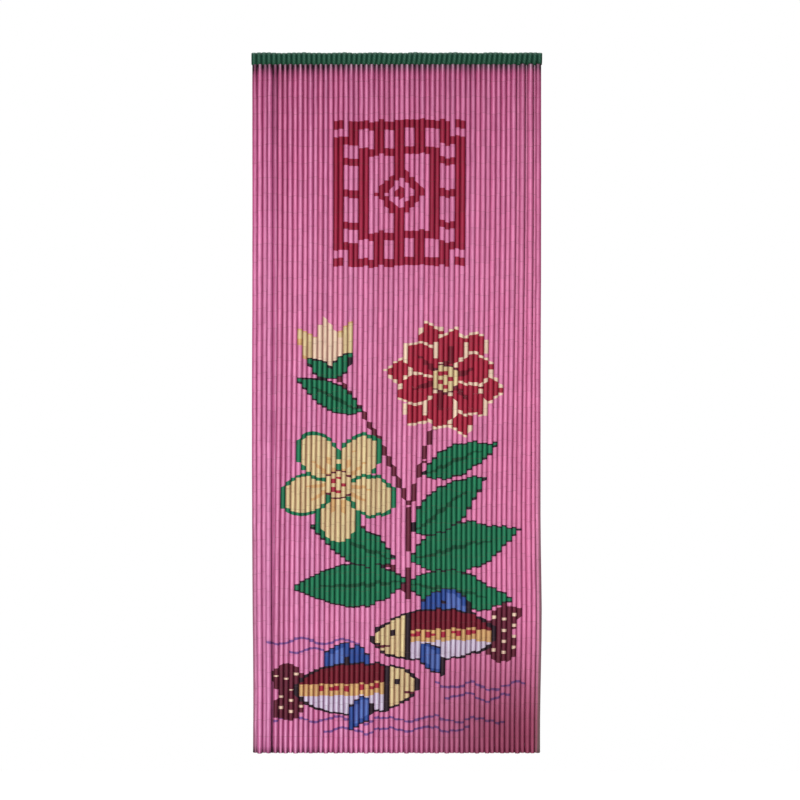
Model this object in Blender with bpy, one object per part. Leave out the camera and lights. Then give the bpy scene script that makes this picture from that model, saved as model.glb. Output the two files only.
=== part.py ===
"""A bead curtain: 58 close-set strands hanging from a cord-wound heading bar.

Metres, +Z up, the front facing -Y. The origin is the middle of the heading's top edge,
where the curtain is hung.
"""

import math

import bmesh
import bpy

# Driving sizes
CURTAIN_WIDTH = 0.800
CURTAIN_DROP = 1.930
STRAND_COUNT = 58
GAP = 0.0003

# Heading bar with its winding of one cord turn for each strand
HEADING_HEIGHT = 0.036
HEADING_DEPTH = 0.0176
WINDING_RELIEF = 0.0022
WINDING_STEPS = 4
WINDING_SLANT = 0.006
SLANT_START = 0.15
SLANT_RUN = 0.25
END_RUN = 0.03

# Stringing strip in which the strands are rooted
STRIP_HEIGHT = 0.010
STRIP_DEPTH = 0.006
STRIP_INSET = 0.008
ROOT_DROP = 0.001

# Strands
STRAND_WIDTH = 0.0126
STRAND_LEVELS = 13
SPACING_DRIFT = 0.020
ROW_STAGGER = 0.0014
SWAY = 0.0016
SWAY_LENGTH = 1.30
EDGE_RIPPLE = 0.0020
HEM_STEP = 0.0015

# Crowded strands: the share of a full pitch that each takes at the top and at the hem, the
# fall at which that starts to change, and how far they stand out of the row when tightest
CROWDED = (
    {"first": 1, "last": 4, "top_share": 1.00, "hem_share": 0.87, "starts": 0.40, "out": 0.0020},
    {"first": 5, "last": 5, "top_share": 1.00, "hem_share": 0.45, "starts": 0.40, "out": 0.0100},
    {"first": 53, "last": 58, "top_share": 0.79, "hem_share": 1.00, "starts": 0.00, "out": 0.0040},
)

PINK = (0.55, 0.13, 0.27, 1.0)
GREEN = (0.02, 0.08, 0.045, 1.0)


def clear_scene():
    for item in list(bpy.data.objects):
        bpy.data.objects.remove(item, do_unlink=True)


def make_collection(name):
    collection = bpy.data.collections.new(name)
    bpy.context.scene.collection.children.link(collection)
    return collection


def move_to(item, collection):
    for owner in list(item.users_collection):
        owner.objects.unlink(item)
    collection.objects.link(item)


def make_material(name, color, roughness):
    material = bpy.data.materials.new(name)
    material.use_nodes = True
    shader = material.node_tree.nodes["Principled BSDF"]
    shader.inputs["Base Color"].default_value = color
    shader.inputs["Roughness"].default_value = roughness
    shader.inputs["Metallic"].default_value = 0.0
    return material


def ease(value):
    """A smooth step from 0 to 1."""
    value = min(max(value, 0.0), 1.0)
    return value * value * (3.0 - 2.0 * value)


def crowding(strand):
    for row in CROWDED:
        if row["first"] <= strand <= row["last"]:
            return row
    return None


def tightness(row, fall):
    """How tight crowded strands are at a fall, from 0 (open) to 1 (their tightest)."""
    change = ease((fall - row["starts"]) / (1.0 - row["starts"]))
    share = row["top_share"] + (row["hem_share"] - row["top_share"]) * change
    return (1.0 - share) / (1.0 - min(row["top_share"], row["hem_share"]))


def strand_share(strand, fall):
    """Relative width that a strand takes at a fall from 0 (top) to 1 (hem)."""
    drift = 1.0 + SPACING_DRIFT * math.sin(1.7 * strand + 3.0 * fall)
    row = crowding(strand)
    if row is None:
        return drift
    tightest = min(row["top_share"], row["hem_share"])
    return drift * (1.0 - (1.0 - tightest) * tightness(row, fall))


def strand_places(fall):
    """Centre of each strand along X at a fall from 0 (top) to 1 (hem)."""
    shares = [strand_share(strand, fall) for strand in range(1, STRAND_COUNT + 1)]
    ripple = EDGE_RIPPLE * ease((fall - 0.6) / 0.2) * math.sin(18.0 * fall)
    unit = (CURTAIN_WIDTH - 2.0 * EDGE_RIPPLE + ripple) / sum(shares)
    sway = SWAY * math.sin(2.0 * math.pi * fall * CURTAIN_DROP / SWAY_LENGTH) * fall
    edge = -CURTAIN_WIDTH / 2.0 + EDGE_RIPPLE / 2.0 + sway
    places = []
    for share in shares:
        places.append(edge + share * unit / 2.0)
        edge += share * unit
    return places


def strand_setback(strand, fall):
    """How far a strand stands behind the row's middle, or before it when negative."""
    side = 1.0 if strand % 2 else -1.0
    row = crowding(strand)
    out = 0.0 if row is None else row["out"] * tightness(row, fall)
    return side * (ROW_STAGGER + out)


def winding_slant(x):
    """How far a turn leans to the right over the heading's height, at a place along it."""
    left, right = -CURTAIN_WIDTH / 2.0, CURTAIN_WIDTH / 2.0
    leaning = ease((x - left - SLANT_START) / SLANT_RUN)
    return WINDING_SLANT * leaning * ease((right - x) / END_RUN)


def make_heading(collection):
    """The bar and its winding: a bar whose front and back swell at each cord turn."""
    cells = STRAND_COUNT * WINDING_STEPS
    work = bmesh.new()
    bmesh.ops.create_cube(work, size=1.0)
    along = [edge for edge in work.edges if abs(edge.verts[0].co.x - edge.verts[1].co.x) > 0.5]
    bmesh.ops.subdivide_edges(work, edges=along, cuts=cells - 1, use_grid_fill=True)
    for vertex in work.verts:
        cell = round((vertex.co.x + 0.5) * cells)
        crown = WINDING_RELIEF * math.sin(math.pi * (cell % WINDING_STEPS) / WINDING_STEPS)
        half_depth = HEADING_DEPTH / 2.0 - WINDING_RELIEF + crown
        x = (cell / cells - 0.5) * CURTAIN_WIDTH
        vertex.co.z -= 0.5
        vertex.co.x = x + winding_slant(x) * (vertex.co.z + 0.5)
        vertex.co.y = math.copysign(half_depth, vertex.co.y)
        vertex.co.z *= HEADING_HEIGHT
    mesh = bpy.data.meshes.new("heading")
    work.to_mesh(mesh)
    work.free()
    heading = bpy.data.objects.new("heading", mesh)
    collection.objects.link(heading)
    return heading


def mesh_from_curve(guide, name, collection):
    """Turns a curve object into a welded mesh object and removes the curve."""
    bpy.context.view_layer.update()
    evaluated = guide.evaluated_get(bpy.context.evaluated_depsgraph_get())
    mesh = bpy.data.meshes.new_from_object(evaluated)
    mesh.name = name
    work = bmesh.new()
    work.from_mesh(mesh)
    bmesh.ops.remove_doubles(work, verts=work.verts, dist=0.00001)
    bmesh.ops.recalc_face_normals(work, faces=work.faces)
    work.to_mesh(mesh)
    work.free()
    item = bpy.data.objects.new(name, mesh)
    collection.objects.link(item)
    item.matrix_world = guide.matrix_world
    bpy.data.objects.remove(guide, do_unlink=True)
    return item


def make_strand_row(collection):
    """All the strands as four-sided lengths, each following its own line to the hem."""
    curve = bpy.data.curves.new("strand_lines", "CURVE")
    curve.dimensions = "3D"
    curve.bevel_depth = STRAND_WIDTH / 2.0
    curve.bevel_resolution = 0
    curve.use_fill_caps = True
    top = -(HEADING_HEIGHT + GAP + ROOT_DROP)
    falls = [level / (STRAND_LEVELS - 1) for level in range(STRAND_LEVELS)]
    rows = [strand_places(fall) for fall in falls]
    for strand in range(1, STRAND_COUNT + 1):
        hem = -CURTAIN_DROP + HEM_STEP * (0.5 + 0.5 * math.sin(2.3 * strand))
        spline = curve.splines.new("POLY")
        spline.points.add(STRAND_LEVELS - 1)
        for level, fall in enumerate(falls):
            x = rows[level][strand - 1]
            y = strand_setback(strand, fall)
            z = top + (hem - top) * fall
            spline.points[level].co = (x, y, z, 1.0)
    guide = bpy.data.objects.new("strand_lines", curve)
    collection.objects.link(guide)
    return mesh_from_curve(guide, "strands", collection)


def make_strip(collection):
    """The stringing strip under the heading, with an edge between every two strands."""
    length = CURTAIN_WIDTH - 2.0 * STRIP_INSET
    bpy.ops.mesh.primitive_cube_add(size=1.0)
    strip = bpy.context.object
    strip.name = "stringing"
    strip.scale = (length, STRIP_DEPTH, STRIP_HEIGHT)
    strip.location = (0.0, 0.0, -(HEADING_HEIGHT + GAP) - STRIP_HEIGHT / 2.0)
    bpy.ops.object.transform_apply(location=True, rotation=False, scale=True)
    work = bmesh.new()
    work.from_mesh(strip.data)
    places = strand_places(0.0)
    for left, right in zip(places, places[1:]):
        middle = ((left + right) / 2.0, 0.0, 0.0)
        geometry = work.verts[:] + work.edges[:] + work.faces[:]
        bmesh.ops.bisect_plane(work, geom=geometry, plane_co=middle, plane_no=(1.0, 0.0, 0.0))
    work.to_mesh(strip.data)
    work.free()
    strip.hide_render = True
    strip.display_type = "WIRE"
    move_to(strip, collection)
    return strip


def fuse(item, other):
    modifier = item.modifiers.new("root", "BOOLEAN")
    modifier.operation = "UNION"
    modifier.solver = "EXACT"
    modifier.object = other


def build():
    clear_scene()
    curtain = make_collection("bead_curtain")
    cutters = make_collection("cutters")
    heading = make_heading(curtain)
    heading.data.materials.append(make_material("heading_green", GREEN, 0.55))
    strands = make_strand_row(curtain)
    strands.data.materials.append(make_material("strand_pink", PINK, 0.35))
    fuse(strands, make_strip(cutters))


build()
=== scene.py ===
import math

import bmesh
import bpy
import numpy as np
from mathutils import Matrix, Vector


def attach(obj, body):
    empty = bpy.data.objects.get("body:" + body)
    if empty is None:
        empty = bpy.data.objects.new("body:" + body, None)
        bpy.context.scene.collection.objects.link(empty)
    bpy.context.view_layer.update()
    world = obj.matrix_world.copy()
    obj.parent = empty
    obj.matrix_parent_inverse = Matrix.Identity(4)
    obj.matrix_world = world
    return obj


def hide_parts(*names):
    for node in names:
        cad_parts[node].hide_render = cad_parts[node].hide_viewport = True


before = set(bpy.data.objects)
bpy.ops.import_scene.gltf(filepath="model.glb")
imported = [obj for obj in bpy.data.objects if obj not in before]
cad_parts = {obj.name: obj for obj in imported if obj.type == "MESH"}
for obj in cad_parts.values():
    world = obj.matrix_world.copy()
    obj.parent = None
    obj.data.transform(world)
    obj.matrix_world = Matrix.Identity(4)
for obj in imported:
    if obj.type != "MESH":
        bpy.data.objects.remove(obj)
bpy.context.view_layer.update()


# The view. The curtain is seen square on, from so far away that its sides stay upright, and
# fills the middle of the picture from the heading's top edge to the hem.
photo_side = 800
pixels_per_metre = 363.1
heading_top_px = 52.4
curtain_middle_px = 396.8
view_distance = 6.0
sensor_width = 36.0


def put_in_scene(name, data):
    item = bpy.data.objects.new(name, data)
    bpy.context.scene.collection.objects.link(item)
    return item


view_data = bpy.data.cameras.new("view")
view_data.sensor_width = sensor_width
view_data.lens = sensor_width * view_distance * pixels_per_metre / photo_side
view = put_in_scene("view", view_data)
view.location = (
    (photo_side / 2 - curtain_middle_px) / pixels_per_metre,
    -view_distance,
    -(photo_side / 2 - heading_top_px) / pixels_per_metre,
)
view.rotation_euler = (math.pi / 2, 0.0, 0.0)
bpy.context.scene.camera = view
bpy.context.scene.view_settings.view_transform = "Standard"


# The strings. Each strand hangs on its own thin string, which comes out of the winding and
# runs down through all its beads to a knot. The strands crowd a little at the right of the
# heading, and at the left of the hem, where the fifth one falls back behind its neighbours.
curtain_width = 0.800
curtain_drop = 1.930
strand_count = 58
middle_strand = 30
strand_numbers = range(1, strand_count + 1)
heading_height = 0.036
row_inset = {"left": 0.0010, "right": 0.0014, "hem_left": 0.0026, "starts": 0.75, "run": 0.20}
row_stagger = 0.0016
edge_ripple = 0.0020
ripple_start = 0.6
ripple_run = 0.2
ripple_pace = 18.0
spacing_drift = 0.020
sway = 0.0016
sway_length = 1.30
hem_step = 0.0015
crowded_strands = (
    {"first": 1, "last": 4, "top_share": 1.00, "hem_share": 0.87, "starts": 0.40, "out": 0.0020},
    {"first": 5, "last": 5, "top_share": 1.00, "hem_share": 0.45, "starts": 0.40, "out": 0.0100},
    {"first": 53, "last": 58, "top_share": 0.79, "hem_share": 1.00, "starts": 0.00, "out": 0.0040},
)
bead_tuck = 0.0028
string_tuck = 0.004
string_tail = 0.0006
string_levels = 22
string_width = 0.0018
string_sides = 6
string_dark = (0.36, 0.16, 0.20)
string_light = (0.62, 0.40, 0.42)


def ease(value):
    """A smooth step from 0 to 1."""
    value = min(max(value, 0.0), 1.0)
    return value * value * (3.0 - 2.0 * value)


def crowding(strand):
    """The crowded group that a strand is in, or None."""
    for row in crowded_strands:
        if row["first"] <= strand <= row["last"]:
            return row
    return None


def tightness(row, fall):
    """How tight a crowded group is at a fall, from 0 (open) to 1 (its tightest)."""
    change = ease((fall - row["starts"]) / (1.0 - row["starts"]))
    share = row["top_share"] + (row["hem_share"] - row["top_share"]) * change
    return (1.0 - share) / (1.0 - min(row["top_share"], row["hem_share"]))


def strand_drift(strand, fall):
    """The small unevenness of the spacing, round 1."""
    return 1.0 + spacing_drift * math.sin(1.7 * strand + 3.0 * fall)


def strand_share(strand, fall):
    """The relative width that a strand takes."""
    drift = strand_drift(strand, fall)
    row = crowding(strand)
    if row is None:
        return drift
    tightest = min(row["top_share"], row["hem_share"])
    return drift * (1.0 - (1.0 - tightest) * tightness(row, fall))


def left_inset(fall):
    """How far the row of strands stops short of the winding's left end."""
    return row_inset["left"] + row_inset["hem_left"] * ease(
        (fall - row_inset["starts"]) / row_inset["run"])


def strand_widths(fall):
    """The room along X that every strand takes at a fall from 0, at the heading, to 1."""
    shares = np.array([strand_share(strand, fall) for strand in strand_numbers])
    ripple = edge_ripple * ease((fall - ripple_start) / ripple_run) * math.sin(ripple_pace * fall)
    insets = 2.0 * edge_ripple + left_inset(fall) + row_inset["right"]
    return shares * (curtain_width - insets + ripple) / shares.sum()


def strand_places(fall):
    """The centre of every strand along X."""
    widths = strand_widths(fall)
    swayed = sway * math.sin(2.0 * math.pi * fall * curtain_drop / sway_length) * fall
    left = -curtain_width / 2.0 + edge_ripple / 2.0 + left_inset(fall) + swayed
    return left + np.cumsum(widths) - widths / 2.0


def strand_setback(strand, fall):
    """How far a strand stands behind the row's middle, or before it when negative."""
    side = 1.0 if strand % 2 else -1.0
    row = crowding(strand)
    out = 0.0 if row is None else row["out"] * tightness(row, fall)
    return side * (row_stagger + out)


def strand_hem(strand):
    """The height of a strand's lower end."""
    return -curtain_drop + hem_step * (0.5 + 0.5 * math.sin(2.3 * strand))


beads_top = -heading_height + bead_tuck
fall_steps = np.linspace(0.0, 1.0, 25)
places_by_step = np.array([strand_places(fall) for fall in fall_steps])
open_room_by_step = [
    strand_widths(fall)[middle_strand - 1] / strand_drift(middle_strand, fall)
    for fall in fall_steps]


def strand_point(strand, drop):
    """Where a strand's middle is at a drop below the heading's top edge."""
    fall = (drop + beads_top) / (-strand_hem(strand) + beads_top)
    x = np.interp(fall, fall_steps, places_by_step[:, strand - 1])
    return float(x), strand_setback(strand, min(max(fall, 0.0), 1.0)), -drop


def feed(tree, node, inputs):
    """Gives each input of a node a plain value or another node's output."""
    for label, value in inputs.items():
        if isinstance(value, bpy.types.NodeSocket):
            tree.links.new(value, node.inputs[label])
        else:
            node.inputs[label].default_value = value


def add_node(tree, kind, inputs=None, **settings):
    """A new node with its settings and its inputs."""
    node = tree.nodes.new(kind)
    for label, value in settings.items():
        setattr(node, label, value)
    feed(tree, node, inputs or {})
    return node


def calc(tree, operation, *values, clamped=False):
    """The result of a Math node."""
    inputs = dict(enumerate(values))
    node = add_node(tree, "ShaderNodeMath", inputs, operation=operation, use_clamp=clamped)
    return node.outputs["Value"]


def add_tree(name, sockets):
    """A geometry tree, its input node, and the identifier of each of its inputs."""
    tree = bpy.data.node_groups.new(name, "GeometryNodeTree")
    for way in ("INPUT", "OUTPUT"):
        tree.interface.new_socket(name="Geometry", in_out=way, socket_type="NodeSocketGeometry")
    known = {}
    for label, kind in (*sockets, ("Material", "Material")):
        kind = "NodeSocket" + kind
        socket = tree.interface.new_socket(name=label, in_out="INPUT", socket_type=kind)
        known[label] = socket.identifier
    return tree, tree.nodes.new("NodeGroupInput"), known


def finish_tree(tree, start, geometry):
    """Ends a tree: instances realized, shaded smooth, with the piece's material."""
    realize = add_node(tree, "GeometryNodeRealizeInstances", {"Geometry": geometry})
    smooth = add_node(tree, "GeometryNodeSetShadeSmooth",
                      {"Geometry": realize.outputs["Geometry"]})
    dress = add_node(tree, "GeometryNodeSetMaterial", {
        "Geometry": smooth.outputs["Geometry"], "Material": start.outputs["Material"]})
    add_node(tree, "NodeGroupOutput", {"Geometry": dress.outputs["Geometry"]})


def guide_curves(tree, start):
    """The guide mesh's edges as curves."""
    node = add_node(tree, "GeometryNodeMeshToCurve", {"Mesh": start.outputs["Geometry"]})
    return node.outputs["Curve"]


def outline_ring(tree, start, radius):
    """A circle with the tree's own number of sides."""
    node = add_node(tree, "GeometryNodeCurvePrimitiveCircle",
                    {"Resolution": start.outputs["Sides"], "Radius": radius})
    return node.outputs["Curve"]


def swept(tree, curves, outline, **more):
    """A closed solid: an outline swept along curves, with its ends capped."""
    inputs = {"Curve": curves, "Profile Curve": outline, "Fill Caps": True, **more}
    return add_node(tree, "GeometryNodeCurveToMesh", inputs).outputs["Mesh"]


def grow(name, guide, tree, known, values):
    """Runs a tree on a guide mesh and returns the finished piece as a plain mesh object."""
    source = put_in_scene(name + "_guide", guide)
    modifier = source.modifiers.new("build", "NODES")
    modifier.node_group = tree
    for label, value in values.items():
        modifier[known[label]] = value
    bpy.context.view_layer.update()
    evaluated = source.evaluated_get(bpy.context.evaluated_depsgraph_get())
    mesh = bpy.data.meshes.new_from_object(evaluated)
    source.modifiers.remove(modifier)
    bpy.data.objects.remove(source, do_unlink=True)
    mesh.name = name
    return put_in_scene(name, mesh)


def guide_mesh(name, points, edges, fields):
    """A mesh of points and edges, with a number or a colour on each point for every field."""
    mesh = bpy.data.meshes.new(name)
    mesh.from_pydata(points, edges, [])
    for label, values in fields.items():
        values = np.asarray(values, dtype=np.float32)
        kind, part = ("FLOAT_COLOR", "color") if values.ndim == 2 else ("FLOAT", "value")
        mesh.attributes.new(label, kind, "POINT").data.foreach_set(part, values.ravel())
    return mesh


def fibre_group():
    """Long thin fibres: a mask that runs along one direction, with soft blotches over it."""
    group = bpy.data.node_groups.new("long_fibres", "ShaderNodeTree")
    for label, way, kind in (("Place", "INPUT", "Vector"), ("Across", "INPUT", "Float"),
                             ("Along", "INPUT", "Float"), ("Fibres", "OUTPUT", "Float"),
                             ("Blotches", "OUTPUT", "Float")):
        group.interface.new_socket(name=label, in_out=way, socket_type="NodeSocket" + kind)
    given = add_node(group, "NodeGroupInput").outputs
    scale = add_node(group, "ShaderNodeCombineXYZ", {
        "X": given["Across"], "Y": given["Across"], "Z": given["Along"]})
    stretch = add_node(group, "ShaderNodeVectorMath", {
        0: given["Place"], 1: scale.outputs["Vector"]}, operation="MULTIPLY")
    streaks = add_node(group, "ShaderNodeTexNoise", {
        "Vector": stretch.outputs["Vector"], "Scale": 1.0, "Detail": 3.0})
    blotches = add_node(group, "ShaderNodeTexNoise", {
        "Vector": given["Place"], "Scale": 46.0, "Detail": 2.0})
    add_node(group, "NodeGroupOutput", {
        "Fibres": streaks.outputs["Fac"], "Blotches": blotches.outputs["Fac"]})
    return group


long_fibres = fibre_group()


def start_material(name):
    material = bpy.data.materials.new(name)
    material.use_nodes = True
    return material, material.node_tree, material.node_tree.nodes["Principled BSDF"]


def object_place(tree):
    return add_node(tree, "ShaderNodeTexCoord").outputs["Object"]


def place_fibres(tree, across, along):
    """The fibres' mask and their blotches, by the place on the object."""
    inputs = {"Place": object_place(tree), "Across": across, "Along": along}
    fibres = add_node(tree, "ShaderNodeGroup", inputs, node_tree=long_fibres)
    return fibres.outputs["Fibres"], fibres.outputs["Blotches"]


def ranged(tree, value, low, high, to_low, to_high):
    """A value moved from one range into another, and held inside it."""
    inputs = {"Value": value, "From Min": low, "From Max": high, "To Min": to_low,
              "To Max": to_high}
    return add_node(tree, "ShaderNodeMapRange", inputs).outputs["Result"]


def mixed(tree, amount, first, second, way="MIX"):
    """Two colours mixed. Each one is a colour or another node's output."""
    first, second = ((*color, 1.0) if isinstance(color, tuple) else color
                     for color in (first, second))
    inputs = {0: amount, 6: first, 7: second}
    return add_node(tree, "ShaderNodeMix", inputs, data_type="RGBA", blend_type=way).outputs[2]


def bumped(tree, height, strength, distance):
    """The normal that a height gives."""
    inputs = {"Height": height, "Strength": strength, "Distance": distance}
    return add_node(tree, "ShaderNodeBump", inputs).outputs["Normal"]


string_cotton, tree, shader = start_material("string_cotton")
fibres, _ = place_fibres(tree, 900.0, 2200.0)
light = ranged(tree, fibres, 0.3, 0.7, 0.0, 1.0)
feed(tree, shader, {"Base Color": mixed(tree, light, string_dark, string_light),
                    "Roughness": 0.85, "Normal": bumped(tree, fibres, 0.5, 0.0004)})

sweep_tree, start, sweep_known = add_tree("sweep_along_strings", (
    ("Sides", "Int"), ("Thickness", "Float")))
half = calc(sweep_tree, "MULTIPLY", start.outputs["Thickness"], 0.5)
finish_tree(sweep_tree, start, swept(
    sweep_tree, guide_curves(sweep_tree, start), outline_ring(sweep_tree, start, half)))

string_points = []
string_edges = []
for strand in strand_numbers:
    drops = np.linspace(heading_height - string_tuck, -strand_hem(strand) + string_tail,
                        string_levels)
    for step, drop in enumerate(drops):
        if step:
            string_edges.append((len(string_points) - 1, len(string_points)))
        string_points.append(strand_point(strand, float(drop)))
strings = grow("strings", guide_mesh("string_lines", string_points, string_edges, {}),
               sweep_tree, sweep_known, {"Sides": string_sides, "Thickness": string_width,
                                         "Material": string_cotton})
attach(strings, "root")
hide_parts("strands")


# The painted design. It is brushed across the finished strands, so each carries its own short
# lengths of colour, a little out of step with its neighbours'. A lattice medallion is at the
# top, a spray of two blossoms and a bud in the middle, and two carp among waves at the bottom.
paints = {
    "pink": (0.636, 0.200, 0.362),
    "red": (0.305, 0.016, 0.050),
    "deep_red": (0.155, 0.009, 0.022),
    "blossom_red": (0.350, 0.020, 0.048),
    "cream": (0.700, 0.550, 0.400),
    "yellow": (0.600, 0.490, 0.262),
    "ochre": (0.560, 0.360, 0.150),
    "leaf": (0.012, 0.175, 0.078),
    "dark_leaf": (0.008, 0.080, 0.035),
    "stem": (0.120, 0.016, 0.035),
    "ink": (0.022, 0.010, 0.018),
    "blue": (0.026, 0.070, 0.270),
    "sky": (0.080, 0.145, 0.400),
    "belly": (0.560, 0.510, 0.620),
    "wave": (0.215, 0.095, 0.300),
}
paint_names = list(paints)
sample_step = 0.001
coarse_steps = 20
below_hem = 0.004
hand_slip = 0.0022
side_look = 0.003
line_search = 14
shortest_stroke = 0.0035
shortest_slant = 0.016
sample_drops = np.arange(heading_height, curtain_drop + below_hem, sample_step)


def oval(place, x, drop, wide, tall, turn=0.0):
    """How far inside an oval each place is, in metres, and below 0 outside it."""
    across, down = place[0] - x, place[1] - drop
    u = (across * math.cos(turn) + down * math.sin(turn)) / wide
    v = (down * math.cos(turn) - across * math.sin(turn)) / tall
    return (1.0 - np.hypot(u, v)) * min(wide, tall)


def blade(place, x, drop, turn, length, width, belly=0.8):
    """A pointed leaf or petal that starts at a place and runs off at an angle in degrees."""
    angle = math.radians(turn)
    across, down = place[0] - x, place[1] - drop
    u = (across * math.cos(angle) + down * math.sin(angle)) / length
    v = down * math.cos(angle) - across * math.sin(angle)
    half_width = 0.5 * width * np.sin(np.pi * np.clip(u, 0.0, 1.0) ** belly)
    return np.where((u > 0.0) & (u < 1.0), half_width - np.abs(v), -1.0)


def stroke(place, start, bend, end, thick):
    """A brushed line along a bow from start to end, drawn towards the bend."""
    nearest = np.full(place[0].shape, 1.0)
    for part in np.linspace(0.0, 1.0, 40):
        x, drop = (
            (1 - part) ** 2 * a + 2 * part * (1 - part) * b + part ** 2 * c
            for a, b, c in zip(start, bend, end))
        nearest = np.minimum(nearest, np.hypot(place[0] - x, place[1] - drop))
    return thick / 2 - nearest


def fill(field, where, paint):
    field[where] = paint_names.index(paint)


def lay(field, inside, paint, rim=None, rim_width=0.0, line=None, line_width=0.0045):
    """Lays one shape of paint: a line round it, its rim, and its fill."""
    if line:
        fill(field, inside > -line_width, line)
    fill(field, inside > 0.0, rim or paint)
    fill(field, inside > rim_width, paint)


lattice_middle = {"x": 0.0085, "drop": 0.388}
lattice_step = 0.0141
lattice_bars = (  # steps from the middle, drop, half width in steps, half height
    (0, 0.189, 10.0, 0.0115), (12, 0.000, 1.0, 0.1560), (9, 0.175, 1.0, 0.0255),
    (10.5, 0.145, 2.5, 0.0110), (12, 0.189, 1.0, 0.0115), (0, 0.116, 8.0, 0.0105),
    (7, 0.000, 1.0, 0.1265), (0, 0.150, 1.0, 0.0400), (9.5, 0.000, 2.5, 0.0110),
    (0, 0.090, 1.0, 0.0300), (9.5, 0.088, 1.5, 0.0100), (4, 0.150, 1.0, 0.0300),
)
diamond_size = {"half_steps": 5.0, "half_tall": 0.078}
diamond_bands = ((0.0, "red"), (0.42, "pink"), (0.74, "red"))


def paint_lattice(field, place):
    """A red window lattice, the same in all four quarters, round a stepped diamond."""
    across = np.abs(place[0] - lattice_middle["x"]) / lattice_step
    down = np.abs(place[1] - lattice_middle["drop"])
    for steps, drop, half_steps, half_tall in lattice_bars:
        near = np.abs(across - steps) < half_steps
        fill(field, near & (np.abs(down - drop) < half_tall), "red")
    diamond = 1.0 - across / diamond_size["half_steps"] - down / diamond_size["half_tall"]
    for inside, paint in diamond_bands:
        fill(field, diamond > inside, paint)


red_blossom = {"x": 0.135, "drop": 0.900, "size": 0.170}
yellow_blossom = {"x": -0.160, "drop": 1.190, "size": 0.165}
heart_size = 0.036
seed_count = 5
seed_size = 0.0072
petal_rim = 0.0085


def paint_heart(field, place, x, drop):
    """The yellow heart of a blossom, with red seeds."""
    lay(field, oval(place, x, drop, heart_size, heart_size), "yellow", line="stem",
        line_width=0.0040)
    for seed in range(seed_count):
        angle = 2.0 * math.pi * seed / seed_count
        seed_x = x + 0.55 * heart_size * math.cos(angle)
        seed_drop = drop + 0.55 * heart_size * math.sin(angle)
        lay(field, oval(place, seed_x, seed_drop, seed_size, seed_size), "blossom_red")


def paint_red_blossom(field, place, x, drop, size):
    """Two rings of pointed red petals with cream edges and dark veins."""
    for ring, turn in ((1.0, 10), (0.86, 40)):
        for petal in range(6):
            angle = turn + 60 * petal
            lay(field, blade(place, x, drop, angle, ring * size, 0.56 * size, 1.25),
                "blossom_red", "cream", petal_rim)
            lay(field, blade(place, x, drop, angle, 0.66 * ring * size, 0.016), "deep_red")
    paint_heart(field, place, x, drop)


def paint_yellow_blossom(field, place, x, drop, size):
    """Five round yellow petals with green edges and ochre veins."""
    reach = 0.57 * size
    for petal in range(5):
        turn = -54 + 72 * petal
        angle = math.radians(turn)
        lay(field, oval(place, x + reach * math.cos(angle), drop + reach * math.sin(angle),
                        0.45 * size, 0.35 * size, angle), "yellow", "leaf", petal_rim)
        for spread in (-13, 13):
            lay(field, blade(place, x, drop, turn + spread, 0.66 * size, 0.010), "ochre")
    paint_heart(field, place, x, drop)


leaf_rows = (
    {"x": 0.04, "drop": 1.400, "turn": -16, "length": 0.310, "width": 0.130},
    {"x": 0.03, "drop": 1.465, "turn": 8, "length": 0.290, "width": 0.105},
    {"x": 0.05, "drop": 1.325, "turn": -40, "length": 0.250, "width": 0.105},
    {"x": 0.02, "drop": 1.455, "turn": 176, "length": 0.310, "width": 0.115},
    {"x": -0.01, "drop": 1.395, "turn": 202, "length": 0.240, "width": 0.095},
    {"x": -0.10, "drop": 0.985, "turn": 206, "length": 0.190, "width": 0.070},
    {"x": 0.075, "drop": 1.165, "turn": -25, "length": 0.220, "width": 0.078},
)
stem_rows = (
    {"start": (0.03, 1.500), "bend": (-0.04, 1.360), "end": (-0.12, 1.280), "thick": 0.014},
    {"start": (0.03, 1.480), "bend": (0.01, 1.250), "end": (0.12, 0.980), "thick": 0.014},
    {"start": (0.03, 1.240), "bend": (-0.06, 1.020), "end": (-0.17, 0.880), "thick": 0.013},
)
bud_x = -0.175
bud_petals = (  # drop, turn, length, width, paint, rim, line
    (0.890, -128, 0.165, 0.070, "yellow", "ochre", None),
    (0.890, -72, 0.165, 0.070, "yellow", "ochre", None),
    (0.890, -100, 0.165, 0.085, "cream", None, None),
    (0.895, -145, 0.085, 0.038, "leaf", None, "ink"),
    (0.895, -55, 0.085, 0.038, "leaf", None, "ink"),
)


def paint_spray(field, place):
    """The stems, the leaves with their middle ribs, the bud and the two blossoms."""
    for row in stem_rows:
        lay(field, stroke(place, **row), "stem")
    for row in leaf_rows:
        lay(field, blade(place, **row), "leaf", line="ink", line_width=0.0042)
        rib = {**row, "length": row["length"] * 0.86, "width": 0.011}
        lay(field, blade(place, **rib), "dark_leaf")
    for drop, turn, length, width, paint, rim, line in bud_petals:
        petal = blade(place, bud_x, drop, turn, length, width)
        lay(field, petal, paint, rim, 0.0040, line)
    paint_red_blossom(field, place, **red_blossom)
    paint_yellow_blossom(field, place, **yellow_blossom)


carp_rows = (
    {"x": 0.105, "drop": 1.605, "facing": -1.0, "size": 1.25, "pitch": 0.05},
    {"x": -0.110, "drop": 1.750, "facing": 1.0, "size": 1.25, "pitch": -0.05},
)
tail_dots = [(row, column) for row in range(4) for column in range(3)]
gill = 0.060


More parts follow.
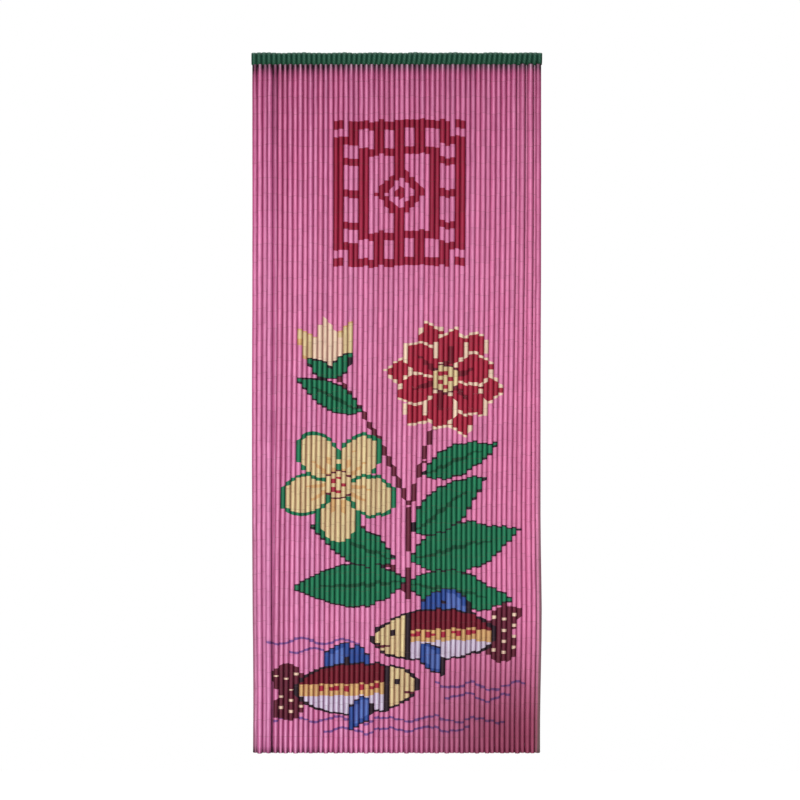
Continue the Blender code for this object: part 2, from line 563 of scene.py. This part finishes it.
def paint_carp(field, place, x, drop, facing, size, pitch):
    """A carp swimming level: a dark back, a yellow side, a pale belly and a dotted tail."""
    across = (place[0] - x) * facing / size
    down = (place[1] - drop) / size - pitch * across
    own = (across, down)
    for turn in (150, 206):
        lay(field, blade(own, -0.095, 0.0, turn, 0.105, 0.066, 1.5), "stem")
    for row, column in tail_dots:
        dot_drop = -0.036 + 0.024 * row + 0.009 * (column % 2)
        lay(field, oval(own, -0.128 - 0.022 * column, dot_drop, 0.0055, 0.0042), "cream")
    lay(field, blade(own, -0.062, -0.030, -58, 0.086, 0.060), "sky", "blue", 0.010, "ink", 0.0030)
    lay(field, blade(own, 0.010, -0.034, -100, 0.066, 0.050), "blue", None, 0.0, "ink", 0.0030)
    body = oval(own, 0.0, 0.0, 0.128, 0.054)
    lay(field, body, "ochre", line="ink", line_width=0.0040)
    fill(field, (body > 0.0) & (down > 0.014), "belly")
    fill(field, (body > 0.0) & (down < -0.012) & (across < gill), "deep_red")
    for scale in range(5):
        lay(field, oval(own, 0.040 - 0.030 * scale, -0.002, 0.0085, 0.0065), "blossom_red")
    fill(field, (body > 0.0) & (across > gill), "yellow")
    fill(field, (body > 0.0) & (np.abs(across - 0.063) < 0.0055), "ink")
    lay(field, blade(own, 0.024, 0.018, 120, 0.082, 0.044), "sky", "blue", 0.007, "ink", 0.0030)
    lay(field, oval(own, 0.092, -0.010, 0.0085, 0.0065), "ink")
    lay(field, blade(own, 0.098, 0.014, 8, 0.034, 0.006), "stem")


wave_half_thick = 0.0032
waves = (  # drop, left end, right end, swell, length
    (1.622, -0.36, -0.10, 0.008, 0.115), (1.648, -0.30, -0.13, 0.007, 0.100),
    (1.742, 0.10, 0.36, 0.008, 0.120), (1.772, 0.13, 0.31, 0.007, 0.110),
    (1.836, -0.34, 0.30, 0.008, 0.130), (1.864, -0.20, 0.20, 0.007, 0.115),
)


def paint_waves(field, place):
    for drop, left, right, swell, length in waves:
        line = drop + swell * np.sin(2 * math.pi * place[0] / length)
        within = (place[0] > left) & (place[0] < right)
        fill(field, within & (np.abs(place[1] - line) < wave_half_thick), "wave")


def painted_field(across, down):
    """The paint on each place of a grid, as a number in paint_names, drawn by a free hand."""
    place = (across + 0.0020 * np.sin(17.0 * down + 5.0), down + 0.0030 * np.sin(19.0 * across))
    field = np.zeros(across.shape, dtype=np.int8)
    paint_lattice(field, place)
    paint_spray(field, place)
    paint_waves(field, place)
    for row in carp_rows:
        paint_carp(field, place, **row)
    return field


chance = np.random.default_rng(58)
out_of_step = chance.normal(0.0, hand_slip, (strand_count, 1))
strand_across = np.array([
    [strand_point(strand, float(drop))[0] for drop in sample_drops[::coarse_steps]]
    for strand in strand_numbers])
strand_across = np.repeat(strand_across, coarse_steps, axis=1)[:, :len(sample_drops)]
strand_down = sample_drops[None, :] + out_of_step
field_here = painted_field(strand_across, strand_down)
field_left = painted_field(strand_across - side_look, strand_down)
field_right = painted_field(strand_across + side_look, strand_down)


def paint_at(strand, drop):
    """The paint on a strand at a drop."""
    step = int(round((drop - sample_drops[0]) / sample_step))
    return int(field_here[strand - 1, min(max(step, 0), len(sample_drops) - 1)])


def matching_change(line, step, above, below):
    """The nearest step where a line changes between the same two paints, or None."""
    for shift in range(line_search):
        for near in (step + shift, step - shift):
            if 1 <= near < len(line) and line[near - 1] == above and line[near] == below:
                return near
    return None


def paint_changes(strand):
    """Every change of paint down a strand: its drop, the paint after it and its slope."""
    line = field_here[strand - 1]
    changes = []
    for step in np.flatnonzero(line[1:] != line[:-1]) + 1:
        above, below = line[step - 1], line[step]
        ends = []
        for side, other in ((-side_look, field_left), (side_look, field_right)):
            match = matching_change(other[strand - 1], step, above, below)
            if match is not None:
                ends.append((side, (match - step) * sample_step))
        slope = 0.0
        if ends:
            slope = sum(rise * side for side, rise in ends) / sum(s * s for s, _ in ends)
        changes.append([sample_drops[0] + (step - 0.5) * sample_step, int(below), slope])
    place = 1
    while place < len(changes):
        short = changes[place][0] - changes[place - 1][0] < shortest_stroke
        before = changes[place - 2][1] if place > 1 else int(line[0])
        if short and changes[place][1] == before:
            del changes[place - 1:place + 1]
            place = max(place - 1, 1)
        else:
            place += 1
    for before, after in zip(changes, changes[1:]):
        if after[0] - before[0] < shortest_slant and before[2] * after[2] < 0.0:
            before[2] = after[2] = 0.0
    return changes


# The beads. Each strand is threaded with wood tubes about 45 mm long and 14 mm across, cut
# square and butted together. Satin paint is brushed on their fronts and backs. Painted shade
# darkens their sides towards the grooves, most of all under the heading and at the hem.
bead_width = 0.0142
bead_share = 1.032
bead_length = 0.045
bead_gap = 0.00002
bead_sides = 12
rim_steps = (
    {"in": 0.0, "width": 0.30, "wear": 1.0}, {"in": 0.00002, "width": 0.987, "wear": 1.0},
    {"in": 0.0004, "width": 0.997, "wear": 0.6}, {"in": 0.0010, "width": 1.0, "wear": 0.0})
top_rim_steps = (
    {"in": 0.0, "width": 0.30, "wear": 1.0}, {"in": 0.0001, "width": 0.94, "wear": 0.6},
    {"in": 0.0006, "width": 0.98, "wear": 0.3}, {"in": 0.0012, "width": 1.0, "wear": 0.0})
hem_rim_steps = (
    {"in": 0.0, "width": 0.30, "wear": 1.0}, {"in": 0.0001, "width": 0.84, "wear": 1.0},
    {"in": 0.0008, "width": 0.95, "wear": 0.6}, {"in": 0.0020, "width": 1.0, "wear": 0.0})
rim_fade = 0.0006
end_rings = (0.0055, 0.0120, 0.0200, 0.0300)
end_clearance = 0.001
paint_margin = 0.0020
paint_edge = 0.00012
slant_clearance = 0.0004
slant_limit = 0.30
strands_in_a_piece = 5
length_range = (0.93, 1.07)
tone_range = (0.25, 0.75)
tint_range = (0.0, 0.5)
groove_shade_range = (0.90, 1.10)
shove_spread = 0.00006
highlight_spread = 0.00035
width_spread = 0.003
tone_spread = 0.12
# Painted shade in the grooves between strands, down their fall: deepest under the heading and at
# the hem.
groove_shade_by_fall = {0.000: 2.70, 0.004: 2.40, 0.009: 1.90, 0.016: 1.45, 0.028: 1.12, 0.120: 1.00,
                      0.300: 0.75, 0.850: 0.80, 0.970: 1.05, 0.990: 1.30, 1.000: 2.20}
shade_falls = list(groove_shade_by_fall)
shade_depths = list(groove_shade_by_fall.values())
# Strands with their own painted groove shade, a painted highlight shifted sideways at the top and
# hem, and grey-brown painted shade on their sides.
shade_shifted_strands = {
    1: {"depth": 1.2, "top": 0.0014, "hem": 0.0016, "grey_side": 0.45},
    3: {"depth": 0.9, "top": 0.0010, "hem": 0.0016, "grey_side": 0.0},
    4: {"depth": 1.0, "top": -0.0014, "hem": -0.0014, "grey_side": 0.0},
    5: {"depth": 1.3, "top": 0.0008, "hem": 0.0062, "grey_side": 0.0},
    58: {"depth": 1.2, "top": -0.0022, "hem": -0.0034, "grey_side": 0.85},
}
unshifted_shade = {"depth": 1.0, "top": 0.0, "hem": 0.0, "grey_side": 0.0}
pink_paling = (-0.02, 0.24, 0.18)
# Painted shade over the lower right of the strands, and how much it eases their groove shade there.
corner_shade_loss = (0.58, 0.74, 0.72)
corner_groove_shade_loss = 0.25
tip_color = (0.44, 0.37, 0.42)
tip_amount = 0.75
tip_reach = 0.013
deep_coat = (0.78, 0.70, 0.76)
pale_coat = (1.06, 1.16, 1.10)
# The painted shade's colours: on the beads' sides, grey-brown on the edge strands' sides, and near
# black deep in the grooves.
groove_shade_coat = (0.57, 0.35, 0.48)
grey_side_shade = (0.120, 0.078, 0.075)
groove_shadow = (0.016, 0.004, 0.008)
worn_rim = (0.10, 0.045, 0.040)


def mesh_field(tree, label, output="Fac"):
    """What a field on the piece's mesh says, as a number, or as a colour."""
    return add_node(tree, "ShaderNodeAttribute", attribute_name=label).outputs[output]


painted_bead, tree, shader = start_material("painted_bead")
brushed = mesh_field(tree, "paint", "Color")
# The depth field: how deep the painted groove shade is.
depth = mesh_field(tree, "depth")
streaks, blotches = place_fibres(tree, 420.0, 26.0)
deep = mixed(tree, 1.0, brushed, deep_coat, "MULTIPLY")
pale = mixed(tree, 1.0, brushed, pale_coat, "MULTIPLY")
coat = mixed(tree, ranged(tree, streaks, 0.30, 0.70, 0.0, 1.0), deep, pale)
coat = mixed(tree, ranged(tree, blotches, 0.25, 0.75, 0.65, 0.0), coat, brushed)
shade = ranged(tree, mesh_field(tree, "tone"), 0.0, 1.0, 0.86, 1.12)
toned = add_node(tree, "ShaderNodeVectorMath", {0: coat, "Scale": shade}, operation="SCALE")
toned = toned.outputs["Vector"]
# Painted shade: each bead's sides darken towards the grooves by the depth field, with a wandering
# edge, grey-brown on the edge strands and near black deep in the grooves.
thin = mixed(tree, 1.0, toned, mixed(tree, 0.3, groove_shade_coat, brushed), "MULTIPLY")
thin = mixed(tree, mesh_field(tree, "grey_side"), thin, grey_side_shade)
side_shade_noise, _ = place_fibres(tree, 75.0, 9.0)
uneven = ranged(tree, side_shade_noise, 0.25, 0.75, -0.13, 0.13)
side_here = calc(tree, "ADD", mesh_field(tree, "side"), uneven)
side_shade_ramp = ranged(tree, side_here, 0.02, 0.66, 0.0, 1.0)
side_shade_amount = calc(tree, "MULTIPLY", side_shade_ramp, depth, clamped=True)
groove_shadow_amount = calc(tree, "MULTIPLY", side_shade_ramp, ranged(tree, depth, 1.2, 2.4, 0.0, 0.95))
side_shaded = mixed(tree, groove_shadow_amount, mixed(tree, side_shade_amount, toned, thin), groove_shadow)
wear = calc(tree, "MULTIPLY", mesh_field(tree, "rim"),
            ranged(tree, streaks, 0.30, 0.65, 0.20, 0.60))
feed(tree, shader, {"Base Color": mixed(tree, wear, side_shaded, worn_rim),
                    "Roughness": ranged(tree, streaks, 0.2, 0.8, 0.46, 0.64),
                    "Specular IOR Level": 0.16, "Normal": bumped(tree, streaks, 0.18, 0.0005)})


def named_value(tree, label):
    """What a field of the guide says at each point."""
    return add_node(tree, "GeometryNodeInputNamedAttribute", {"Name": label}).outputs["Attribute"]


def marked(tree, geometry, label, value):
    """Geometry that keeps a value on each point."""
    inputs = {"Geometry": geometry, "Name": label, "Value": value}
    return add_node(tree, "GeometryNodeStoreNamedAttribute", inputs).outputs["Geometry"]


def x_here(tree):
    position = add_node(tree, "GeometryNodeInputPosition").outputs["Position"]
    return add_node(tree, "ShaderNodeSeparateXYZ", {"Vector": position}).outputs["X"]


def level_curves(tree, start):
    """The guide's curves, set so that an outline swept along them starts at the side."""
    inputs = {"Curve": guide_curves(tree, start), "Normal": (1.0, 0.0, 0.0)}
    return add_node(tree, "GeometryNodeSetCurveNormal", inputs, mode="FREE").outputs["Curve"]


def counted_ring(tree, start, radius):
    """An outline ring that keeps on each point how far round it lies."""
    part = add_node(tree, "GeometryNodeSplineParameter").outputs["Factor"]
    return marked(tree, outline_ring(tree, start, radius), "around", part)


bead_tree, start, bead_known = add_tree("turn_beads", (("Sides", "Int"), ("Bead Width", "Float")))
bead_walls = swept(bead_tree, level_curves(bead_tree, start), counted_ring(bead_tree, start, 1.0),
                   Scale=named_value(bead_tree, "bead_radius"))
# How far each point lies from the middle of the painted highlight; the painted shade grows with it.
from_middle = calc(bead_tree, "SUBTRACT", x_here(bead_tree), named_value(bead_tree, "middle"))
off_highlight = calc(bead_tree, "SUBTRACT", from_middle, named_value(bead_tree, "highlight_shift"))
how_far = calc(bead_tree, "MULTIPLY", calc(bead_tree, "ABSOLUTE", off_highlight), 2.0)
side_part = calc(bead_tree, "DIVIDE", how_far, start.outputs["Bead Width"])
rise = calc(bead_tree, "MULTIPLY", from_middle, named_value(bead_tree, "slope"))
offset = add_node(bead_tree, "ShaderNodeCombineXYZ", {"Z": rise}).outputs["Vector"]
slanted = add_node(bead_tree, "GeometryNodeSetPosition", {
    "Geometry": marked(bead_tree, bead_walls, "side", side_part), "Offset": offset})
finish_tree(bead_tree, start, slanted.outputs["Geometry"])


def bead_stops(top, hem, width, first, last, changes, start_paint):
    """The rings of one bead, from top to bottom: drop, width, paint, slope and rim wear."""
    above = top_rim_steps if first else rim_steps
    below = hem_rim_steps if last else rim_steps
    paint = start_paint
    stops = [[top + s["in"], width * s["width"], paint, 0.0, s["wear"]] for s in above]
    stops.append([top + above[-1]["in"] + rim_fade, width, paint, 0.0, 0.0])
    floor = hem - below[-1]["in"] - rim_fade
    if first:
        stops += [[top + down, width, paint, 0.0, 0.0] for down in end_rings]
    for position, (drop, next_paint, slope) in enumerate(changes):
        free_above = drop - stops[-1][0]
        later = changes[position + 1][0] if position + 1 < len(changes) else floor
        free = min(free_above, later - drop) - slant_clearance
        most = max(0.0, slant_limit * free / (0.5 * width))
        slope = min(max(slope, -most), most)
        stops.append([drop - paint_edge, width, paint, -slope, 0.0])
        paint = next_paint
        stops.append([drop + paint_edge, width, paint, -slope, 0.0])
    if last:
        stops += [[hem - up, width, paint, 0.0, 0.0] for up in reversed(end_rings)]
    stops.append([floor, width, paint, 0.0, 0.0])
    stops += [[hem - s["in"], width * s["width"], paint, 0.0, s["wear"]]
              for s in reversed(below)]
    return stops


def corner_shade(x, fall):
    """How much painted shade darkens the strands, up to 1 at the right of the hem."""
    return ease((x + 0.10) / 0.42) * ease((fall - 0.79) / 0.19)


def paint_here(paint, strand_tint, strand, x, fall):
    """A paint's colour on a strand. The pink pales down the left, painted shade darkens the lower
    right, and the tips fade.
    """
    color = np.array(paints[paint_names[paint]])
    if paint_names[paint] == "pink":
        paling = strand_tint + 0.8 * fall * (1.0 - strand / strand_count)
        color *= 1.0 + paling * np.array(pink_paling)
    corner_unshaded = 1.0 - corner_shade(x, fall) * np.array(corner_shade_loss)
    tip = tip_amount * (1.0 - ease(fall / tip_reach))
    return (*(color * corner_unshaded * (1.0 - tip) + np.array(tip_color) * tip), 1.0)


def string_of_beads(strand, gather):
    """Adds every bead of one strand to the lists of points, edges and fields."""
    top, hem = -beads_top, -strand_hem(strand)
    count = round((hem - top) / bead_length)
    lengths = chance.uniform(*length_range, count)
    ends = top + np.concatenate(([0.0], np.cumsum(lengths))) * (hem - top) / lengths.sum()
    strand_tone = chance.uniform(*tone_range)
    strand_tint = chance.uniform(*tint_range) * (1.0 - 0.65 * strand / strand_count)
    # Each strand's painted groove shade, lighter further right, and any shift of its own painted
    # shade and highlight.
    strand_groove_shade = chance.uniform(*groove_shade_range) * (1.06 - 0.22 * ease((strand - 6) / 20))
    turned = shade_shifted_strands.get(strand, unshifted_shade)
    changes = paint_changes(strand)
    shove = chance.normal(0.0, shove_spread, (count + 1, 2))
    # The painted highlight wanders sideways from bead to bead.
    highlight_shifts = chance.normal(0.0, highlight_spread, count + 1)
    for number in range(count):
        first, last = number == 0, number == count - 1
        bead_top = ends[number] + (0.0 if first else bead_gap / 2)
        bead_hem = ends[number + 1] - (0.0 if last else bead_gap / 2)
        bead_fall = (bead_top + bead_hem) / 2 / hem
        room = np.interp(bead_fall, fall_steps, open_room_by_step) * strand_drift(strand, bead_fall)
        width = bead_share * room * (1.0 + chance.normal(0.0, width_spread))
        tone_here = np.clip(strand_tone + chance.normal(0.0, tone_spread), 0.0, 1.0)
        highest = bead_top + (end_rings[-1] + end_clearance if first else paint_margin)
        lowest = bead_hem - (end_rings[-1] + end_clearance if last else paint_margin)
        inside = [change for change in changes if highest < change[0] < lowest]
        stops = bead_stops(bead_top, bead_hem, width, first, last, inside,
                           paint_at(strand, inside[0][0] - sample_step if inside else highest))
        base = len(gather["points"])
        for position, (drop, ring_width, paint, slope, rim_wear) in enumerate(stops):
            x, y, z = strand_point(strand, float(drop))
            part = (drop - bead_top) / (bead_hem - bead_top)
            fall = (drop - top) / (hem - top)
            lean = shove[number] * (1.0 - part) + shove[number + 1] * part
            # The painted highlight's shift along this bead.
            brush = highlight_shifts[number] * (1.0 - part) + highlight_shifts[number + 1] * part
            if position:
                gather["edges"].append((base + position - 1, base + position))
            # Painted shade: the lower right darkens and its groove shade eases there, and the
            # groove shade deepens by fall.
            corner_shaded = 1.0 - corner_groove_shade_loss * corner_shade(x, fall)
            shade_here = np.interp(fall, shade_falls, shade_depths)
            ring = {
                "points": (x + lean[0], y + 2.0 * lean[1], z),
                "bead_radius": ring_width / 2,
                "paint": paint_here(paint, strand_tint, strand, x, fall),
                "slope": slope,
                "middle": x + lean[0],
                "rim": rim_wear,
                "tone": tone_here,
                "depth": strand_groove_shade * turned["depth"] * corner_shaded * shade_here,
                "grey_side": turned["grey_side"] * ease((fall - 0.45) / 0.35),
                "highlight_shift": brush + turned["top"] * (1.0 - fall) + turned["hem"] * fall,
                "along": part,
                "cell": gather["count"],
            }
            for label, value in ring.items():
                gather[label].append(value)
        gather["count"] += 1


def read_all(collection, label, count, kind):
    """One property of every item in a mesh's collection."""
    values = np.empty(count, dtype=kind)
    collection.foreach_get(label, values)
    return values


def lay_out_beads(mesh, count):
    """Unrolls every bead into its own cell of one square map: its wall, and a spot for caps."""
    columns = math.ceil(math.sqrt(count))
    rows = math.ceil(count / columns)
    corners = read_all(mesh.loops, "vertex_index", len(mesh.loops), np.int32)
    starts = read_all(mesh.polygons, "loop_start", len(mesh.polygons), np.int32)
    sizes = read_all(mesh.polygons, "loop_total", len(mesh.polygons), np.int32)
    around, along, cell = (
        read_all(mesh.attributes[label].data, "value", len(mesh.vertices), np.float32)[corners]
        for label in ("around", "along", "cell"))
    turn = 2.0 * math.pi * around
    most = np.maximum.reduceat(around, starts)
    least = np.minimum.reduceat(around, starts)
    crosses = np.repeat((most - least > 0.5) & (sizes == 4), sizes)
    around = np.where(crosses & (around < 0.5), around + 1.0, around)
    capped = np.repeat(sizes > 4, sizes)
    u = np.where(capped, 0.975 + 0.012 * np.cos(turn), 0.03 + 0.91 * around)
    v = np.where(capped, 0.05 + 0.9 * along + 0.012 * np.sin(turn), 0.03 + 0.94 * along)
    cell = np.round(cell).astype(int)
    places = np.empty((len(corners), 2), dtype=np.float32)
    places[:, 0] = (cell % columns + u) / columns
    places[:, 1] = (cell // columns + v) / rows
    mesh.uv_layers.new(name="OFBake").uv.foreach_set("vector", places.ravel())


field_labels = ("bead_radius", "paint", "slope", "middle", "rim", "tone", "depth",
                "grey_side", "highlight_shift", "along", "cell")
for first_strand in range(1, strand_count + 1, strands_in_a_piece):
    last_strand = min(first_strand + strands_in_a_piece - 1, strand_count)
    gather = {label: [] for label in ("points", "edges", *field_labels)}
    gather["count"] = 0
    for strand in range(first_strand, last_strand + 1):
        string_of_beads(strand, gather)
    fields = {label: gather[label] for label in field_labels}
    guide = guide_mesh("bead_rings", gather["points"], gather["edges"], fields)
    beads = grow(f"beads_{first_strand:02d}_{last_strand:02d}", guide, bead_tree, bead_known,
                 {"Sides": bead_sides, "Bead Width": bead_width, "Material": painted_bead})
    lay_out_beads(beads.data, gather["count"])
    beads.data.set_sharp_from_angle(angle=math.radians(50))
    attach(beads, "root")
    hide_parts("strands")


# The end knots. The string is tied in a small round knot under each strand's last bead, and
# the knot is pulled up into the bead's mouth.
knot_width = 0.0046
knot_flatness = 0.8
knot_lumps = 0.28
knot_turns = (0.3, 0.3, 6.28)

knot_tree, start, knot_known = add_tree("tie_knots", (("Knot Width", "Float"), ("Seed", "Int")))
wide = start.outputs["Knot Width"]
ball = add_node(knot_tree, "GeometryNodeMeshUVSphere", {"Segments": 10, "Rings": 7, "Radius": 0.5})
lumps = add_node(knot_tree, "ShaderNodeTexNoise", {"Scale": 3.0})
push = add_node(knot_tree, "ShaderNodeVectorMath", {
    0: lumps.outputs["Color"], "Scale": knot_lumps}, operation="SCALE")
lumpy = add_node(knot_tree, "GeometryNodeSetPosition", {
    "Geometry": ball.outputs["Mesh"], "Offset": push.outputs["Vector"]})
size = add_node(knot_tree, "ShaderNodeCombineXYZ", {
    "X": wide, "Y": wide, "Z": calc(knot_tree, "MULTIPLY", wide, knot_flatness)})
turn = add_node(knot_tree, "FunctionNodeRandomValue", {
    "Max": knot_turns, "Seed": start.outputs["Seed"]}, data_type="FLOAT_VECTOR")
ties = add_node(knot_tree, "GeometryNodeInstanceOnPoints", {
    "Points": start.outputs["Geometry"], "Instance": lumpy.outputs["Geometry"],
    "Rotation": turn.outputs["Value"], "Scale": size.outputs["Vector"]})
finish_tree(knot_tree, start, ties.outputs["Instances"])

knot_points = [strand_point(strand, -strand_hem(strand)) for strand in strand_numbers]
knots = grow("end_knots", guide_mesh("knot_places", knot_points, [], {}), knot_tree, knot_known,
             {"Knot Width": knot_width, "Seed": 7, "Material": string_cotton})
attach(knots, "root")
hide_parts("strands")


# The heading bar. A planed wood bar carries the curtain. The winding hides it but for its
# two sawn ends.
bar_depth = 0.0080
bar_height = 0.0240
bar_rounding = 0.0034
bar_shortfall = 0.0010
bar_middle = -heading_height / 2
wood_dark = (0.30, 0.17, 0.085)
wood_light = (0.46, 0.29, 0.16)


def piece_of(work, name, material):
    """Turns a bmesh into a piece with its material."""
    mesh = bpy.data.meshes.new(name)
    work.to_mesh(mesh)
    work.free()
    mesh.materials.append(material)
    return put_in_scene(name, mesh)


bar_wood, tree, shader = start_material("bar_wood")
fibres, _ = place_fibres(tree, 300.0, 300.0)
light = ranged(tree, fibres, 0.3, 0.7, 0.0, 1.0)
feed(tree, shader, {"Base Color": mixed(tree, light, wood_dark, wood_light), "Roughness": 0.7,
                    "Normal": bumped(tree, fibres, 0.4, 0.0005)})

work = bmesh.new()
bmesh.ops.create_cube(work, size=1.0)
for vertex in work.verts:
    vertex.co.x *= curtain_width - bar_shortfall
    vertex.co.y *= bar_depth
    vertex.co.z = bar_middle + vertex.co.z * bar_height
long_edges = [edge for edge in work.edges if edge.calc_length() > 2 * bar_height]
bmesh.ops.bevel(work, geom=long_edges, offset=bar_rounding, segments=4, affect="EDGES")
heading_bar = piece_of(work, "heading_bar", bar_wood)
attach(heading_bar, "root")
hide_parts("heading")


# The winding. A thick soft green cord is wound tightly round the bar, one turn over each
# strand's string. Its turns stand upright at the left and lean to the right further along.
turn_points = 24
cord_width = curtain_width / strand_count
cord_overlap = 1.02
cord_thickness = 0.0044
cord_sides = 12
turn_half_depth = 0.0066
turn_half_height = 0.0157
turn_corner = 3.0
winding_lean = 0.006
lean_start = 0.15
lean_run = 0.25
end_run = 0.03
slack_spread = 0.00035
slack_wave = 0.0007
twists_per_metre = 150.0
twists_round = 6.0
green_dark = (0.020, 0.080, 0.050)
green_light = (0.070, 0.165, 0.120)
green_blotch = (0.034, 0.115, 0.072)
# Painted shade on the cord's sides and at its foot, and a painted highlight along its crown.
green_valley_shade = (0.004, 0.036, 0.020)
green_foot_shade = (0.008, 0.046, 0.018)
green_crown_light = (0.130, 0.200, 0.170)


def winding_slant(x):
    """How far a turn leans to the right over the heading's height, at a place along it."""
    leaning = ease((x + curtain_width / 2 - lean_start) / lean_run)
    return winding_lean * leaning * ease((curtain_width / 2 - x) / end_run)


def turn_outline(part):
    """A rounded oblong round the bar: depth and height at a part of a turn, from the foot."""
    angle = 2.0 * math.pi * part
    reach_y, reach_z = math.sin(angle), math.cos(angle)
    y = -math.copysign(abs(reach_y) ** (2.0 / turn_corner), reach_y) * turn_half_depth
    z = -math.copysign(abs(reach_z) ** (2.0 / turn_corner), reach_z) * turn_half_height
    return y, z


cord_green, tree, shader = start_material("cord_green")
round_the_cord = calc(tree, "MULTIPLY", mesh_field(tree, "around"), twists_round)
plies = calc(tree, "MULTIPLY_ADD", mesh_field(tree, "along_cord"), twists_per_metre, round_the_cord)
ply_wave = calc(tree, "SINE", calc(tree, "MULTIPLY", plies, 2.0 * math.pi))
fibres, blotches = place_fibres(tree, 1100.0, 500.0)
yarn = ranged(tree, ply_wave, -1.0, 1.0, 0.0, 1.0)
# Painted shade darkens the cord's sides between turns and its foot, and a painted highlight
# lightens its crown.
valley_shade = ranged(tree, mesh_field(tree, "side"), 0.10, 0.62, 0.0, 0.90)
height = add_node(tree, "ShaderNodeSeparateXYZ", {"Vector": object_place(tree)}).outputs["Z"]
green = mixed(tree, yarn, green_dark, green_light)
green = mixed(tree, ranged(tree, blotches, 0.3, 0.7, 0.0, 0.5), green, green_blotch)
green = mixed(tree, valley_shade, green, green_valley_shade)
green = mixed(tree, ranged(tree, height, -0.034, -0.017, 0.55, 0.0), green, green_foot_shade)
green = mixed(tree, ranged(tree, height, -0.009, 0.0, 0.0, 0.45), green, green_crown_light)
fuzz = mixed(tree, 0.35, yarn, fibres)
feed(tree, shader, {"Base Color": green, "Roughness": 0.80, "Specular IOR Level": 0.10,
                    "Normal": bumped(tree, fuzz, 0.35, 0.0008)})

cord_tree, start, cord_known = add_tree("wind_cord", (
    ("Sides", "Int"), ("Cord Width", "Float"), ("Cord Thickness", "Float")))
# How far each point lies from the cord's middle, for the painted shade on its sides.
off_middle = calc(cord_tree, "MULTIPLY", calc(cord_tree, "ABSOLUTE", x_here(cord_tree)), 2.0)
section = marked(cord_tree, counted_ring(cord_tree, start, 0.5), "side", off_middle)
section_size = add_node(cord_tree, "ShaderNodeCombineXYZ", {
    "X": start.outputs["Cord Width"], "Y": start.outputs["Cord Thickness"], "Z": 1.0})
flattened = add_node(cord_tree, "GeometryNodeTransform", {
    "Geometry": section, "Scale": section_size.outputs["Vector"]})
finish_tree(cord_tree, start, swept(
    cord_tree, level_curves(cord_tree, start), flattened.outputs["Geometry"]))

cord_points = []
cord_along = [0.0]
first_middle = -curtain_width / 2 + cord_width / 2
tightening = chance.normal(0.0, slack_spread, strand_count + 1)
for step in range((strand_count - 1) * turn_points + turn_points // 2 + 1):
    turn_number, part = divmod(step / turn_points, 1.0)
    middle = first_middle + turn_number * cord_width
    slant_here = winding_slant(middle)
    if part <= 0.5:
        shift = slant_here * (ease(part * 2.0) - 0.5)
    else:
        shift = slant_here * 0.5 + (cord_width - slant_here) * ease(part * 2.0 - 1.0)
    y, z = turn_outline(part)
    slack = tightening[int(turn_number)] + slack_wave * math.sin(0.83 * turn_number)
    z *= 1.0 + (slack / turn_half_height if z > 0.0 else 0.0)
    cord_points.append((middle + shift, y, bar_middle + z))
for before, after in zip(cord_points, cord_points[1:]):
    cord_along.append(cord_along[-1] + math.dist(before, after))
cord_edges = [(step, step + 1) for step in range(len(cord_points) - 1)]
winding_guide = guide_mesh("winding_path", cord_points, cord_edges, {"along_cord": cord_along})
winding = grow("winding", winding_guide, cord_tree, cord_known, {
    "Sides": cord_sides, "Cord Width": cord_width * cord_overlap,
    "Cord Thickness": cord_thickness, "Material": cord_green})
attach(winding, "root")
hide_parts("heading")


# The studio. The curtain hangs clear of a pale floor in a white room. Soft lamps hang overhead
# before and behind it, and a soft spot lights its front from the left.
floor_gap = 0.60
floor_box = {"left": -7.0, "right": 7.0, "front": -7.0, "back": 3.2}
floor_glow = 0.45
room_light = 0.22
room_seen = 1.0

studio_white, tree, shader = start_material("studio_white")
feed(tree, shader, {"Base Color": (0.94, 0.94, 0.94, 1.0), "Roughness": 0.9,
                    "Emission Color": (1.0, 1.0, 1.0, 1.0), "Emission Strength": floor_glow})

work = bmesh.new()
corners = [work.verts.new((floor_box[side], floor_box[end], -curtain_drop - floor_gap))
           for side, end in (("left", "front"), ("right", "front"), ("right", "back"),
                             ("left", "back"))]
work.faces.new(corners)
floor = piece_of(work, "floor", studio_white)


def place_light(name, kind, place, aim, power, **settings):
    """A lamp that the camera doesn't see, turned towards a point."""
    light_data = bpy.data.lights.new(name, kind)
    light_data.energy = power
    for label, value in settings.items():
        setattr(light_data, label, value)
    light = put_in_scene(name, light_data)
    light.location = place
    direction = Vector(aim) - Vector(place)
    light.rotation_euler = direction.to_track_quat("-Z", "Y").to_euler()
    light.visible_camera = False


place_light("key", "SPOT", (-1.9, -4.8, -0.6), (-0.08, 0.0, -1.18), 890.0,
            spot_size=math.radians(34.0), spot_blend=0.6, shadow_soft_size=0.35)
place_light("overhead", "AREA", (0.0, -1.6, 2.4), (0.0, -1.2, -2.0), 26.0,
            shape="RECTANGLE", size=4.0, size_y=2.4)
place_light("floor_lamp", "AREA", (0.0, 2.0, 2.6), (0.0, 1.8, -2.0), 420.0,
            shape="RECTANGLE", size=7.0, size_y=3.6)

studio = bpy.data.worlds.new("studio")
studio.use_nodes = True
tree = studio.node_tree
seen = add_node(tree, "ShaderNodeLightPath").outputs["Is Camera Ray"]
feed(tree, tree.nodes["Background"], {
    "Color": (1.0, 1.0, 1.0, 1.0),
    "Strength": ranged(tree, seen, 0.0, 1.0, room_light, room_seen)})
bpy.context.scene.world = studio
